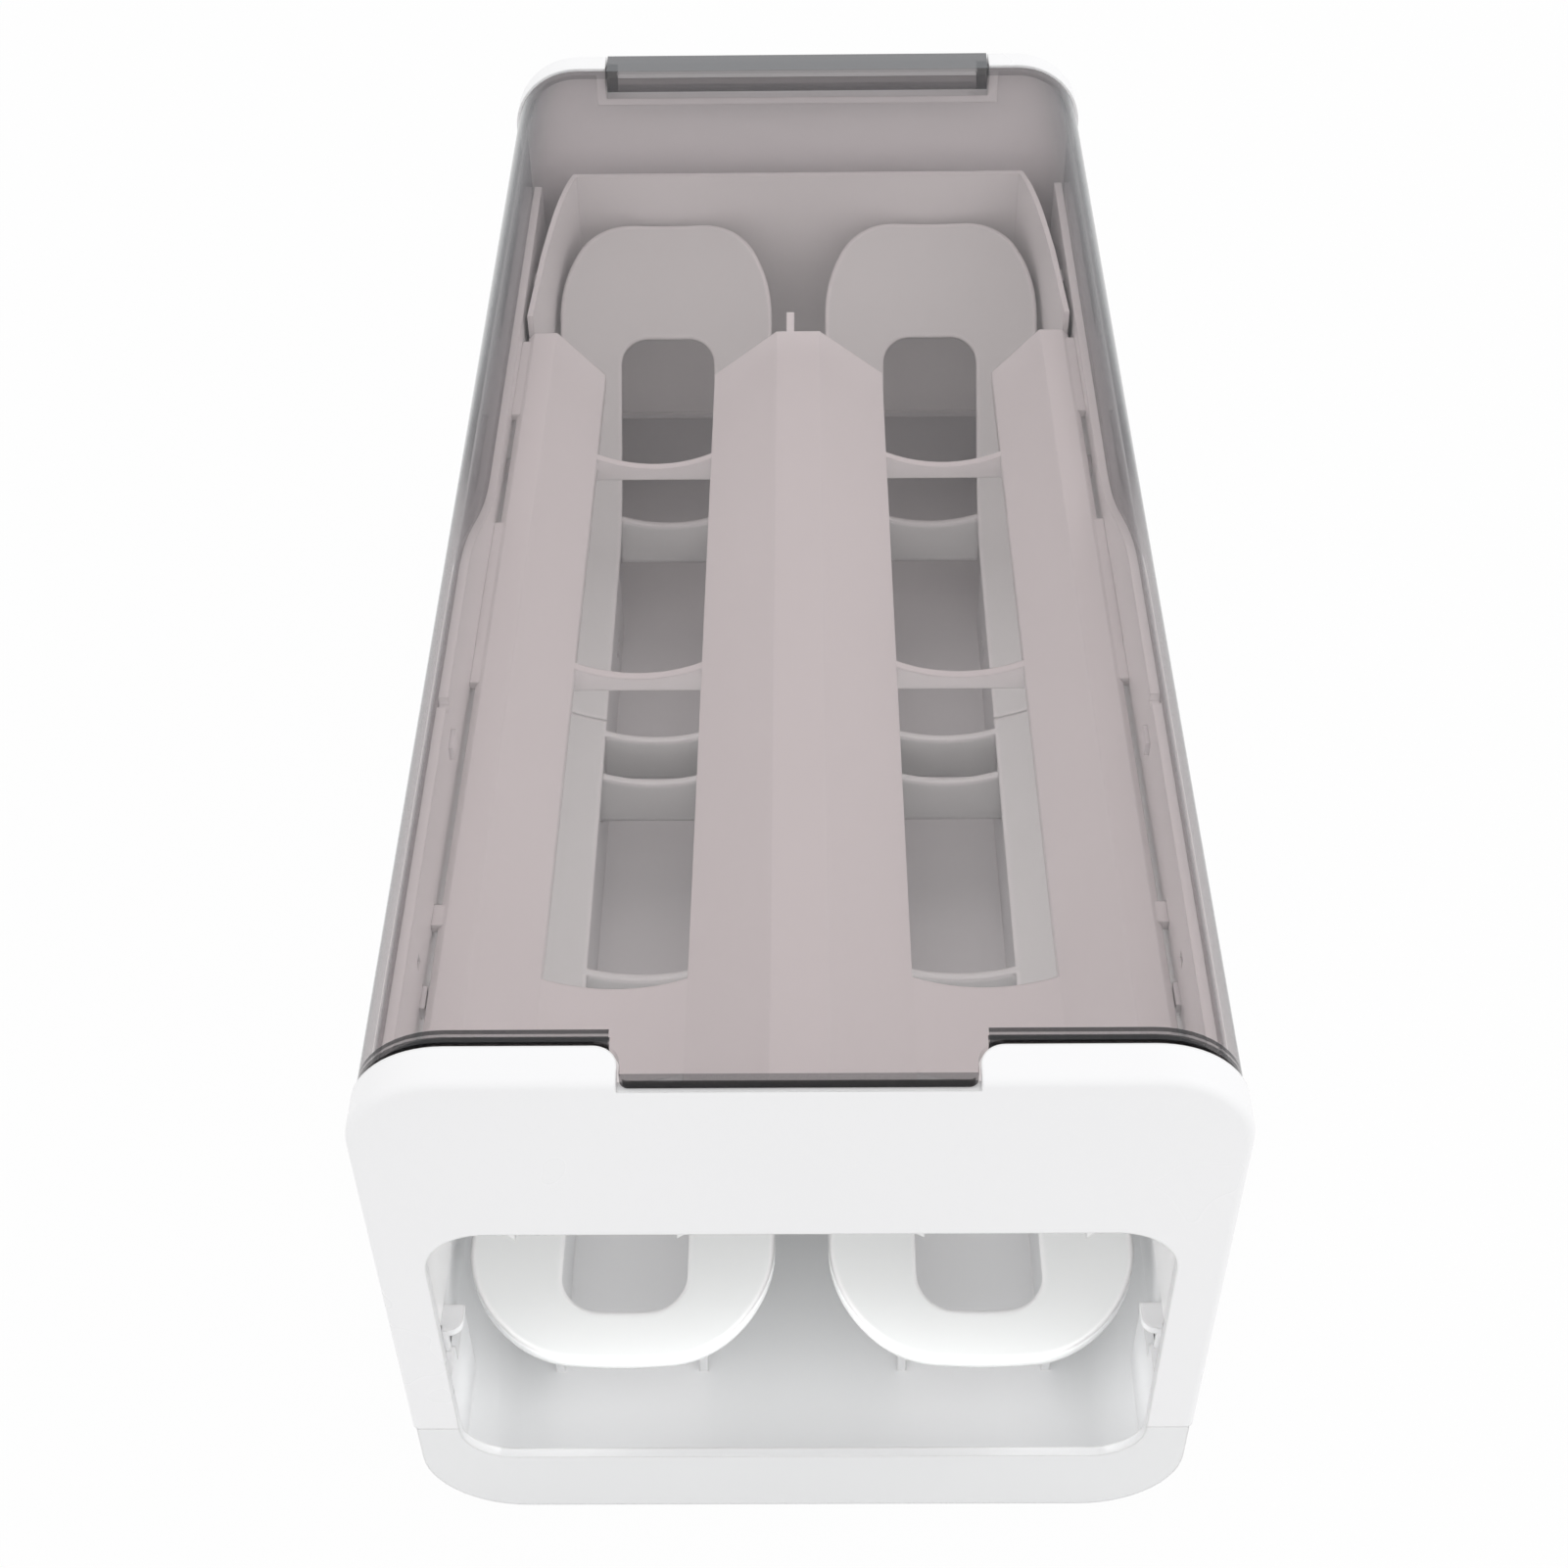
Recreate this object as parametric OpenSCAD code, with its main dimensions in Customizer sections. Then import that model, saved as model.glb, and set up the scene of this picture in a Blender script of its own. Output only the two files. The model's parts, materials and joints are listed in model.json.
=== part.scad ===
// Rolling egg dispenser: a two-lane, two-tier box. Eggs laid on the sloping upper deck roll to the
// rear, drop on the curved-up ends of the lower runners and roll forward to the open front window.
// Millimetres, +Z up. The origin is at the middle of the footprint, on the surface it stands on, and
// the front face looks along -Y. Inside the modules y is measured from the front face.

/* [Box] */
// Width across the front and rear frames
body_w = 165; // [158:1:175]
// Length from the front face to the rear face
body_l = 377; // [360:1:400]
// Height of the frames
body_h = 150; // [149:1:158]
// Thickness of the white mouldings
wall = 2.2; // [1.8:0.1:2.6]
// Height of the line where the frames meet the tray
part_z = 32.5; // [30:0.5:36]
// Radius of the upper corners of the frames
frame_corner = 19; // [16:0.5:21]
// Depth of the shoulder band of each frame
shoulder = 8.5; // [7.5:0.5:10]

/* [Window] */
// Width of the frame on each side of the opening
leg_w = 10; // [9:0.5:13]
// Height of the face above the opening
brow_h = 46.3; // [44:0.5:50]
// Height of the lip that stops the eggs
lip_z = 20.6; // [17:0.5:24]
// Radius of its upper corners
window_corner = 12.5; // [9:0.5:15]
// Radius of the corners of the lip
lip_corner = 11; // [8:0.5:11.5]

/* [Tray] */
// Radius of the bottom corners of the tray
tray_corner = 21; // [18:0.5:23]
// How far each side of the tray is set in from the frames
tray_inset = 1; // [0.9:0.1:1.4]
// Rise of the inner rim that carries the side walls
rim_rise = 13; // [11:0.5:15]

/* [Sides] */
// Depth of the upper edge of the outer side skins under the top, along the rear
skin_low = 42.4; // [40:0.2:44]
// Depth of that edge under the top, along the front
skin_high = 24.4; // [23:0.2:27]
// Distance from the front face where the wave in that edge starts to fall
wave_front = 165; // [150:1:175]
// Length of the wave
wave_len = 61; // [50:1:75]

/* [Cover] */
// Thickness of the smoky cover
cover_t = 2.2; // [1.8:0.1:2.4]
// Radius of its upper corners
cover_corner = 18; // [15:0.5:20]
// Width of the finger tongue at the front
tongue_w = 63.6; // [55:1:70]
// Distance of the hinge tab from each side of the box
tab_inset = 27.5; // [26:0.5:32]
// Radius of the hinge pins
pin_r = 1.5; // [1.3:0.1:1.6]

/* [Lanes] */
// How far the middle of each lane lies outside the middle of its half of the box
lane_shift = 0.8; // [0.4:0.1:1.1]
// Width of the slots in the upper deck
deck_slot = 31; // [29:0.5:32]
// Depth of the deck's slot edges under the upper edge of the window, at the front face
deck_sink = 1.8; // [1:0.2:3]
// Fall of the upper deck towards the rear, in degrees
deck_fall = 1.6; // [1.2:0.1:1.8]
// Length of the box behind the deck, where the eggs drop
drop_len = 80; // [77:1:84]
// Height of the ridges of the deck above its slot edges
ridge_h = 14; // [12:0.5:15]
// Distance between the front tongues of the two lower runners
tongue_gap = 11.8; // [11:0.2:14]
// Distance between the rear halves of the two lower runners
runner_gap = 15.8; // [15:0.2:18]
// Width of the slots in the lower runners
runner_slot = 27.8; // [26:0.2:29]
// Radius of the hollow that the eggs roll in
hollow_r = 58; // [54:1:64]
// Height of the hollow's lowest line at its front end
runner_z = 33.3; // [32:0.1:34]
// Rise of the lower runners towards the rear, in degrees
runner_rise = 1.1; // [0.8:0.1:1.3]
// Slope of the curved-up rear ends, in degrees
ramp_angle = 45; // [42:1:46]
// Radius of the bend under that slope
bend_r = 40; // [34:1:44]
// Depth of the upper end of that slope under the top of the box
pad_drop = 46.9; // [45:0.5:50]
// Distance of the upper end of that slope from the rear face
pad_back = 16.5; // [16:0.5:19]

/* [Hidden] */
$fn = 64;

white = [0.93, 0.93, 0.94];
shell_white = [0.89, 0.89, 0.89];
smoke = [0.36, 0.32, 0.33, 0.5];

// Clearances
fit_gap = 0.3;
slide_gap = 0.4;
run_gap = 0.05;
seat_gap = 0.2;
overrun = 1;

// Box
half_w = body_w / 2;
tray_half = half_w - tray_inset;
skin_half = half_w - 0.9 * tray_inset;
fascia_t = cover_t + slide_gap;
liner_out = skin_half - fascia_t;
liner_in = liner_out - wall;
fascia_low_z = body_h - skin_low;
fascia_high_z = body_h - skin_high;
wave_rear = wave_front + wave_len;
wave_steps = 24;
lap = 4.4;
shoulder_rear = body_l - shoulder;

// Frames: rounding of the outer edge, width of the swept edge of the face, depth of the inner cheeks
edge_r = 1.8;
face_edge = 12;
cheek_len = 16.7;

// Window
half_window = half_w - leg_w;
window_top = body_h - brow_h;

// Tray: its standing rim, and the clips beside the window
rim_z = part_z + rim_rise;
foot_rim = 9;
foot_relief = 0.8;
clip_strip_t = 2;
clip_strip_rise = 5.5;
clip_pin_t = 1.2;
clip_tab_in = 4.6;
clip_tab_front = 15.8;
clip_tab_len = 6.4;
clip_tab_r = 3;

// Hooks of the skins: places along the box, depths under the wave, sizes, and the slits above the first two
hook_shares = [0.137, 0.312, 0.637, 0.875];
hook_drops = [16.6, 7, 6.5, 6.5];
hook_w = 6;
hook_h = 3.4;
hook_nose = 1;
slit_w = 3;
slit_h = 2.4;
slit_rise = 8.8;

// Hinge of the cover
tab_half = half_w - tab_inset;
pocket_depth = 9.4;
hinge_drop = 3.4;
hinge_back = 4.2;
ear_r = 3.2;
ear_t = 2.8;
pocket_z = body_h - pocket_depth;
hinge_z = body_h - hinge_drop;
hinge_y = body_l - hinge_back;
hinge_reach = hinge_y - shoulder_rear;
web_h = hinge_drop + ear_r;

// Ends of the cover, its front rim and its finger tongue
cover_gap = 0.9;
cover_front = shoulder + cover_gap;
cover_rear = hinge_y - sqrt(hinge_reach * hinge_reach + hinge_drop * hinge_drop) - fit_gap;
rim_depth = 0.7;
rim_width = 2.4;
tongue_front = 0.6;
tongue_r = 1.8;
root_r = 5;

// Lanes
half_pitch = liner_in / 2 + lane_shift;

// Upper deck
deck_end = body_l - drop_len;
deck_z = window_top - deck_sink;
half_slot = deck_slot / 2;
ridge_base = half_pitch - half_slot;
ridge_top = 6;
flank_in = half_pitch + half_slot;
deck_gap = 1.4;
deck_half = liner_in - deck_gap;
shelf_w = 8.1;
shelf_in = deck_half - shelf_w;
deck_front = wall + seat_gap;
apron_front = 41;
apron_len = 26;
rib_shares = [0.566, 0.862];
rib_t = 2.4;
rib_dip = 3.4;
rib_drop = 7;
tab_shares = [[0.236, 0.256], [0.498, 0.707], [0.869, 0.99]];
tab_drop = 3;
nib_reach = 1.6;
fin_len = 10;

// Lower runners, measured in their own tilted frame from runner_front
half_front = half_pitch - tongue_gap / 2;
half_rear = half_pitch - runner_gap / 2;
half_runner_slot = runner_slot / 2;
runner_front = 14;
front_trim = 1.5;
front_end_r = 22;
slot_end_r = 8;
slot_front = 13.8;
rim_t = 1.8;
rim_h = 3;
rim_len = 44;
rise_run = runner_front + bend_r * (sin(ramp_angle) - sin(runner_rise));
rise_room = body_h - pad_drop - runner_z - bend_r * (cos(runner_rise) - cos(ramp_angle));
bend_start = (body_l - pad_back - rise_run - rise_room / tan(ramp_angle))
    / (cos(runner_rise) - sin(runner_rise) / tan(ramp_angle));
ramp_len = (rise_room - bend_start * sin(runner_rise)) / sin(ramp_angle);
ramp_turn = ramp_angle - runner_rise;
pad_len = 34;
ramp_slot_len = ramp_len - pad_len;
rear_flat = 68;
joint_y = bend_start - rear_flat;
underlap = 20;
under_depth = wall + seat_gap;
plate_t = 2.2;
plate_reach = 3.2;
plate_dip = 2.6;
plate_drop = 16.5;
mid_plate_share = 0.545;
joint_plate = 6;
bend_plate = 15;
bend_step = -2.6;
seam_step = 0.1;

// Rounded upper corners of the ramps: an easy arc up the side runs into a tighter one at the top
pad_side_r = 40;
pad_round_w = 21;
pad_round_h = 29;
pad_steps = 10;
pad_top_r = (pad_side_r * pad_side_r - pow(pad_side_r - pad_round_w, 2) - pad_round_h * pad_round_h)
    / (2 * (pad_side_r - pad_round_h));

// Upright walls under the runners, with a notch for the underlap and two small windows
bearer_t = 2;
bearer_side = 1.6;
bearer_front = 32;
bearer_back = 83;
bearer_rear = body_l - bearer_back;
plate_foot = 18.5;
vent_back = 110;
vent_y = body_l - vent_back;
vent_step = 6.5;
vent_w = 4;
vent_z = 10;

// Rear guide
guide_t = 1.6;
guide_gap = 11;
guide_back = body_l - guide_gap;
guide_step = 2;
guide_front = deck_end + guide_step;
guide_side = 1.2;
guide_draft = 3;
guide_bow = 5.8;
guide_bow_len = 38;
guide_low = fascia_low_z + lap;
guide_lift = 5.6;
guide_rise_len = 34;

// An upright slab: the outline's x and y become X and Z, from y0 to y1
module upright(y0, y1) {
    translate([0, y1, 0]) rotate([90, 0, 0]) linear_extrude(y1 - y0) children();
}

// A slab across the box: the outline's x and y become Y and Z, from x0 to x1
module across(x0, x1) {
    translate([x0, 0, 0]) rotate([90, 0, 90]) linear_extrude(x1 - x0) children();
}

// Moves a piece from front-face measure to the origin at the middle of the footprint
module placed() {
    translate([0, -body_l / 2, 0]) children();
}

// The same shape on both sides of the middle plane
module both_sides() {
    children();
    mirror([1, 0, 0]) children();
}

// A plate with two rounded upper corners
module arch(half, z0, z1, r) {
    translate([-half, z0]) square([2 * half, z1 - z0 - r]);
    translate([-half + r, z0]) square([2 * (half - r), z1 - z0]);
    for (side = [-1, 1]) translate([side * (half - r), z1 - r]) circle(r);
}

// A plate with two rounded lower corners
module tub(half, z0, z1, r) {
    intersection() {
        union() {
            translate([-half, z0 + r]) square([2 * half, z1 - z0]);
            translate([-half + r, z0]) square([2 * (half - r), z1 - z0]);
            for (side = [-1, 1]) translate([side * (half - r), z0 + r]) circle(r);
        }
        translate([-half, z0]) square([2 * half, z1 - z0]);
    }
}

// A flat bar with one rounded end, from y0 to the end at y1
module tongue_shape(half, y0, y1, r) {
    translate([-half, y0]) square([2 * half, y1 - r - y0]);
    translate([-half + r, y0]) square([2 * (half - r), y1 - y0]);
    for (side = [-1, 1]) translate([side * (half - r), y1 - r]) circle(r);
}

// Upper edge of the outer side skins at the distance y from the front face
function wave(y) =
    y <= wave_front ? fascia_high_z
    : y >= wave_rear ? fascia_low_z
    : fascia_low_z + (fascia_high_z - fascia_low_z)
        * (1 + cos(180 * (y - wave_front) / (wave_rear - wave_front))) / 2;

// The side of the box below the wave, lifted by rise, between y0 and y1
module below_wave(z0, rise, y0, y1) {
    polygon(concat(
        [[y0, z0], [y0, fascia_high_z + rise]],
        [for (i = [0 : wave_steps])
            let (y = wave_front + (wave_rear - wave_front) * i / wave_steps)
            [y, wave(y) + rise]],
        [[y1, fascia_low_z + rise], [y1, z0]]));
}

// The tray: floor, low walls, front lip, the rim for the side walls and bearers for the runners
module base_tray() {
    color(shell_white) placed() difference() {
        union() {
            upright(0, wall) tub(tray_half, 0, part_z, tray_corner);
            upright(body_l - wall, body_l) tub(tray_half, 0, part_z, tray_corner);
            upright(0, body_l) difference() {
                tub(tray_half, 0, part_z, tray_corner);
                translate([0, wall]) tub(tray_half - wall, 0, part_z, tray_corner - wall);
            }
            tray_rims();
            window_clips();
            for (lane = [-1, 1], side = [-1, 1]) runner_bearer(lane, side);
        }
        upright(-overrun, wall + overrun)
            tub(half_window, lip_z, part_z + overrun, lip_corner);
        translate([0, body_l / 2, 0]) foot_recess();
    }
}

// Inner rims along both sides and the ledge at the rear
module tray_rims() {
    both_sides() upright(cheek_len + fit_gap, body_l - wall) polygon([
        [liner_in, part_z - 2 * wall], [tray_half - wall / 2, part_z - 3 * wall],
        [tray_half - wall / 2, part_z], [liner_out, part_z],
        [liner_out, rim_z], [liner_in, rim_z]]);
    ledge_half = tray_half - tray_corner;
    translate([-ledge_half, guide_back - wall, part_z - wall])
        cube([2 * ledge_half, body_l - guide_back, wall]);
}

// Clips beside the window: a strip up the inside of the front wall, a pin and a rounded tab on the rim
module window_clips() {
    strip_out = liner_in - fit_gap;
    both_sides() {
        upright(wall / 2, part_z - wall) intersection() {
            tub(tray_half - wall / 2, wall / 2, part_z, tray_corner - wall / 2);
            translate([strip_out - clip_strip_t, 0]) square([clip_strip_t, part_z]);
        }
        translate([strip_out - clip_strip_t, wall + seat_gap, part_z - wall])
            cube([clip_strip_t, cheek_len - wall - seat_gap, clip_strip_rise + wall]);
        translate([strip_out - clip_pin_t, cheek_len - clip_pin_t, part_z])
            cube([clip_pin_t, clip_pin_t, rim_z - part_z]);
        translate([liner_in - clip_tab_in, 0, rim_z - wall]) linear_extrude(wall) difference() {
            union() {
                translate([0, clip_tab_front]) square([clip_tab_in - fit_gap, clip_tab_len]);
                translate([0, cheek_len + fit_gap])
                    square([clip_tab_in + wall / 2, clip_tab_front + clip_tab_len - cheek_len - fit_gap]);
            }
            translate([0, clip_tab_front]) corner_notch(clip_tab_r);
        }
    }
}

// What rounding to the radius r takes off the corner at the origin of the first quadrant
module corner_notch(r) {
    difference() {
        translate([-overrun, -overrun]) square([r + overrun, r + overrun]);
        translate([r, r]) circle(r);
    }
}

// One of the upright walls under the edge of a runner's slot
module runner_bearer(lane, side) {
    x_in = half_runner_slot + bearer_side;
    hollow = hollow_r - sqrt(hollow_r * hollow_r - x_in * x_in);
    top0 = runner_z + hollow - wall;
    x_mid = lane * half_pitch + side * (x_in + bearer_t / 2);
    rise = tan(runner_rise);
    underlap_y = runner_front + joint_y - underlap;
    difference() {
        across(x_mid - bearer_t / 2, x_mid + bearer_t / 2) polygon([
            [bearer_front, wall / 2], [bearer_rear, wall / 2],
            [bearer_rear, top0 - fit_gap + rise * (bearer_rear - runner_front)],
            [bearer_front, top0 - fit_gap + rise * (bearer_front - runner_front)]]);
        translate([x_mid - bearer_t, underlap_y - 2 * wall, top0 - 1.5 * wall + rise * (joint_y - underlap)])
            cube([2 * bearer_t, underlap + 5 * wall, 4 * wall + rise * underlap]);
        translate([x_mid - bearer_t, underlap_y - wall / 2, plate_foot])
            cube([2 * bearer_t, plate_t + wall, body_h]);
        for (i = [0, 1]) translate([x_mid - bearer_t, vent_y + i * vent_step, vent_z])
            cube([2 * bearer_t, vent_w, vent_w]);
    }
}

// Shallow relief under the floor, so that the tray stands on a rim
module foot_recess() {
    half_x = tray_half - tray_corner - foot_rim / 2;
    half_y = body_l / 2 - foot_rim;
    for (turn = [0, 180]) rotate(turn)
        translate([-half_x, -half_y, -overrun]) cube([2 * half_x, half_y, overrun + foot_relief]);
}

// Section across a frame's band and the edge of its face, with the outer edge rounded over
module band_section() {
    difference() {
        union() {
            translate([frame_corner - wall, 0]) square([wall, shoulder]);
            translate([frame_corner - face_edge, 0]) square([face_edge, wall]);
        }
        difference() {
            translate([frame_corner - edge_r, -overrun]) square([edge_r + overrun, edge_r + overrun]);
            translate([frame_corner - edge_r, edge_r]) circle(edge_r);
        }
    }
}

// A frame with its face at y = 0: the section is swept up the sides, round the corners and over the top
module frame_shell() {
    mid = half_w - frame_corner;
    rise = body_h - frame_corner;
    both_sides() {
        translate([mid, 0, part_z]) linear_extrude(rise - part_z) band_section();
        translate([mid, 0, rise]) rotate([-90, 0, 0]) rotate(-90) rotate_extrude(angle = 90) band_section();
    }
    translate([mid, 0, rise]) rotate([0, -90, 0]) linear_extrude(2 * mid) band_section();
    upright(0, wall)
        arch(half_w - face_edge / 2, part_z, body_h - face_edge / 2, frame_corner - face_edge / 2);
}

// The front frame: face with the window, shoulder band, inner cheeks and notch for the cover's tongue
module front_frame() {
    color(white) placed() difference() {
        union() {
            frame_shell();
            both_sides() translate([liner_in, wall / 2, part_z])
                cube([wall, cheek_len - wall / 2, fascia_high_z + lap - part_z]);
        }
        upright(-overrun, wall + overrun)
            arch(half_window, part_z - overrun, window_top, window_corner);
        translate([0, 0, body_h - cover_t - slide_gap]) linear_extrude(cover_t + slide_gap + overrun)
            tongue_plan(tongue_w / 2 + slide_gap, -body_l, shoulder, tongue_r, root_r - slide_gap);
    }
}

// Plan of the finger tongue, from y0 to its root at y1: r0 rounds its corners, r1 fills in its root
module tongue_plan(half, y0, y1, r0, r1) {
    translate([-half, y0 + r0]) square([2 * half, y1 - y0 - r0 + overrun]);
    translate([-half + r0, y0]) square([2 * (half - r0), y1 - y0]);
    both_sides() {
        translate([half - r0, y0 + r0]) circle(r0);
        difference() {
            translate([half - r1, y1 - r1]) square([2 * r1, r1 + overrun]);
            translate([half + r1, y1 - r1]) circle(r1);
        }
    }
}

// The rear panel: a closed plate, shoulder band and the pocket for the hinge
module rear_panel() {
    pocket_half = tab_half + slide_gap;
    color(white) placed() difference() {
        union() {
            translate([0, body_l, 0]) mirror([0, 1, 0]) frame_shell();
            translate([-pocket_half - ear_t, shoulder_rear, pocket_z - wall])
                cube([2 * (pocket_half + ear_t), shoulder, body_h - pocket_z]);
        }
        translate([-pocket_half, shoulder_rear - overrun, pocket_z])
            cube([2 * pocket_half, shoulder + 2 * overrun, body_h]);
        translate([-pocket_half - ear_t - overrun, hinge_y, hinge_z]) rotate([0, 90, 0])
            cylinder(h = 2 * (pocket_half + ear_t + overrun), r = pin_r + run_gap);
    }
}

// Inner side wall, with slots for the deck's nibs, windows for the skin's hooks and two small slits
module side_wall() {
    difference() {
        across(liner_in, liner_out)
            below_wave(rim_z, lap, cheek_len + fit_gap, shoulder_rear);
        in_deck_frame() for (share = tab_shares)
            deck_nib(share * deck_end, liner_in - overrun, liner_out + overrun, fit_gap);
        for (i = [0 : len(hook_shares) - 1])
            wall_window(hook_y(i), hook_z(i), hook_w + 2 * fit_gap, hook_h + 2 * fit_gap);
        for (i = [0, 1])
            wall_window(hook_y(i) + slit_w, hook_z(i) + slit_rise, slit_w, slit_h);
    }
}

// Place of a hook along the box, and the height of its middle
function hook_y(i) = hook_shares[i] * body_l;
function hook_z(i) = wave(hook_y(i)) - hook_drops[i] + hook_h / 2;

// A window w wide and h high through a side wall, about the middle y, z
module wall_window(y, z, w, h) {
    translate([liner_in - overrun, y - w / 2, z - h / 2]) cube([wall + 2 * overrun, w, h]);
}

module side_wall_right() {
    color(white) placed() side_wall();
}

module side_wall_left() {
    color(white) placed() mirror([1, 0, 0]) side_wall();
}

// Outer side skin, with hooks through the windows of the wall
module side_fascia() {
    across(liner_out, skin_half) below_wave(part_z, 0, shoulder, shoulder_rear);
    for (i = [0 : len(hook_shares) - 1])
        translate([liner_in - hook_nose, hook_y(i) - hook_w / 2, hook_z(i) - hook_h / 2])
            cube([wall + hook_nose + overrun, hook_w, hook_h]);
}

module side_fascia_right() {
    color(white) placed() side_fascia();
}

module side_fascia_left() {
    color(white) placed() mirror([1, 0, 0]) side_fascia();
}

// The deck is drawn level, with its slot edges at z = 0, and tipped down towards the rear
module in_deck_frame() {
    translate([0, 0, deck_z]) rotate([-deck_fall, 0, 0]) children();
}

// Section of the ridge between the lanes
module ridge_section() {
    run = ridge_base - ridge_top;
    drop = wall * sqrt(run * run + ridge_h * ridge_h) / run;
    inner_top = ridge_top - (drop - wall) * run / ridge_h;
    polygon([[-ridge_base, 0], [-ridge_top, ridge_h], [ridge_top, ridge_h], [ridge_base, 0],
             [ridge_base, -drop], [inner_top, ridge_h - wall], [-inner_top, ridge_h - wall],
             [-ridge_base, -drop]]);
}

// Section of the sloping flank and the narrow shelf beside the side wall
module flank_section() {
    run = shelf_in - flank_in;
    drop = wall * sqrt(run * run + ridge_h * ridge_h) / run;
    inner_x = shelf_in + (drop - wall) * run / ridge_h;
    ease = 0.8 * wall;
    polygon([[flank_in, 0], [shelf_in, ridge_h], [deck_half - ease, ridge_h],
             [deck_half, ridge_h - ease], [deck_half, ridge_h - 2.5 * wall],
             [deck_half - wall, ridge_h - 2.5 * wall], [deck_half - wall, ridge_h - wall],
             [inner_x, ridge_h - wall], [flank_in, -drop]]);
}

// A hollowed cross piece that fills a slot of width 2 * half, as deep as drop
module hollow_bridge(half, dip, drop, inset) {
    r = (half * half + dip * dip) / (2 * dip);
    difference() {
        translate([-half - inset, -drop]) square([2 * (half + inset), drop]);
        translate([0, r - dip]) circle(r);
    }
}

// Nib that hangs the deck in the side wall, in the middle of a tab's span
module deck_nib(span, x0, x1, gap) {
    mid = (span[0] + span[1]) / 2;
    reach = min(span[1] - span[0], 4 * shoulder) / 2;
    translate([x0, mid - reach - gap, ridge_h - tab_drop - gap])
        cube([x1 - x0, 2 * (reach + gap), wall + 2 * gap]);
}

// The upper deck: ridge, two flanks, aprons at the front and hollowed ribs across the slots
module upper_deck() {
    color(white) placed() in_deck_frame() {
        upright(deck_front, deck_end) ridge_section();
        both_sides() {
            upright(deck_front, deck_end) flank_section();
            translate([half_pitch, 0, 0]) {
                upright(apron_front, apron_front + apron_len) difference() {
                    hollow_bridge(half_slot, rib_dip, rib_drop, overrun);
                    translate([0, -wall]) hollow_cut();
                }
                for (share = rib_shares) upright(share * deck_end, share * deck_end + rib_t)
                    hollow_bridge(half_slot, rib_dip, rib_drop, overrun);
            }
            for (share = tab_shares) deck_tab(share * deck_end);
        }
        translate([-1.5 * wall, deck_end - overrun, ridge_h - wall]) cube([wall, fin_len + overrun, wall]);
    }
}

// Tab that keeps the deck off the side wall over a span, with its nib
module deck_tab(span) {
    translate([deck_half - wall, span[0], ridge_h - tab_drop])
        cube([liner_in - deck_half + wall, span[1] - span[0], wall]);
    deck_nib(span, deck_half - wall, liner_in + nib_reach, 0);
}

// What is cut out under the apron to leave an even thickness
module hollow_cut() {
    r = (half_slot * half_slot + rib_dip * rib_dip) / (2 * rib_dip);
    difference() {
        translate([-half_slot - 2 * overrun, -2 * rib_drop])
            square([2 * half_slot + 4 * overrun, 2 * rib_drop]);
        translate([0, r - rib_dip]) circle(r);
    }
}

// A runner is drawn level along +y from its front end, lowest line at z = 0, then tipped up
module in_runner_frame(lane) {
    translate([lane * half_pitch, runner_front, runner_z]) rotate([runner_rise, 0, 0]) children();
}

// Section of the hollow sheet, from depth d0 to depth d1 under the rolling surface
module hollow_sheet(half, d0, d1) {
    intersection() {
        translate([0, hollow_r]) difference() {
            circle(hollow_r + d1, $fn = 180);
            circle(hollow_r + d0, $fn = 180);
        }
        translate([-half, -2 * rim_h]) square([2 * half, hollow_r / 2]);
    }
}

// Cross plate of a runner, hollowed between the slot edges, with its face at y
module cross_plate(y, depth, reach) {
    edge = hollow_r - sqrt(hollow_r * hollow_r - half_runner_slot * half_runner_slot);
    translate([0, 0, edge - depth]) upright(y, y + plate_t)
        hollow_bridge(half_runner_slot, plate_dip, plate_drop, reach);
}

// Front half of a lane's runner, with the blunt tongue seen in the window
module runner_front_half() {
    wide = half_front + overrun;
    difference() {
        intersection() {
            union() {
                upright(-overrun, joint_y) hollow_sheet(wide, 0, wall);
                difference() {
                    upright(-overrun, rim_len) hollow_sheet(wide, wall / 2, rim_h);
                    rounded_front(half_front - rim_t, front_end_r - rim_t, front_trim + rim_t);
                }
            }
            rounded_front(half_front, front_end_r, front_trim);
        }
        rounded_front(half_runner_slot, slot_end_r, slot_front);
    }
    for (y = [mid_plate_share * joint_y, joint_y - joint_plate]) cross_plate(y, 0, overrun);
}

// A column with a rounded front end at y0, as wide as twice half
module rounded_front(half, r, y0) {
    translate([0, 0, -hollow_r]) linear_extrude(2 * hollow_r)
        mirror([0, 1]) tongue_shape(half, -body_l, -y0, r);
}

module lower_runner_front_right() {
    color(white) placed() in_runner_frame(1) runner_front_half();
}

module lower_runner_front_left() {
    color(white) placed() in_runner_frame(-1) runner_front_half();
}

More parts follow.
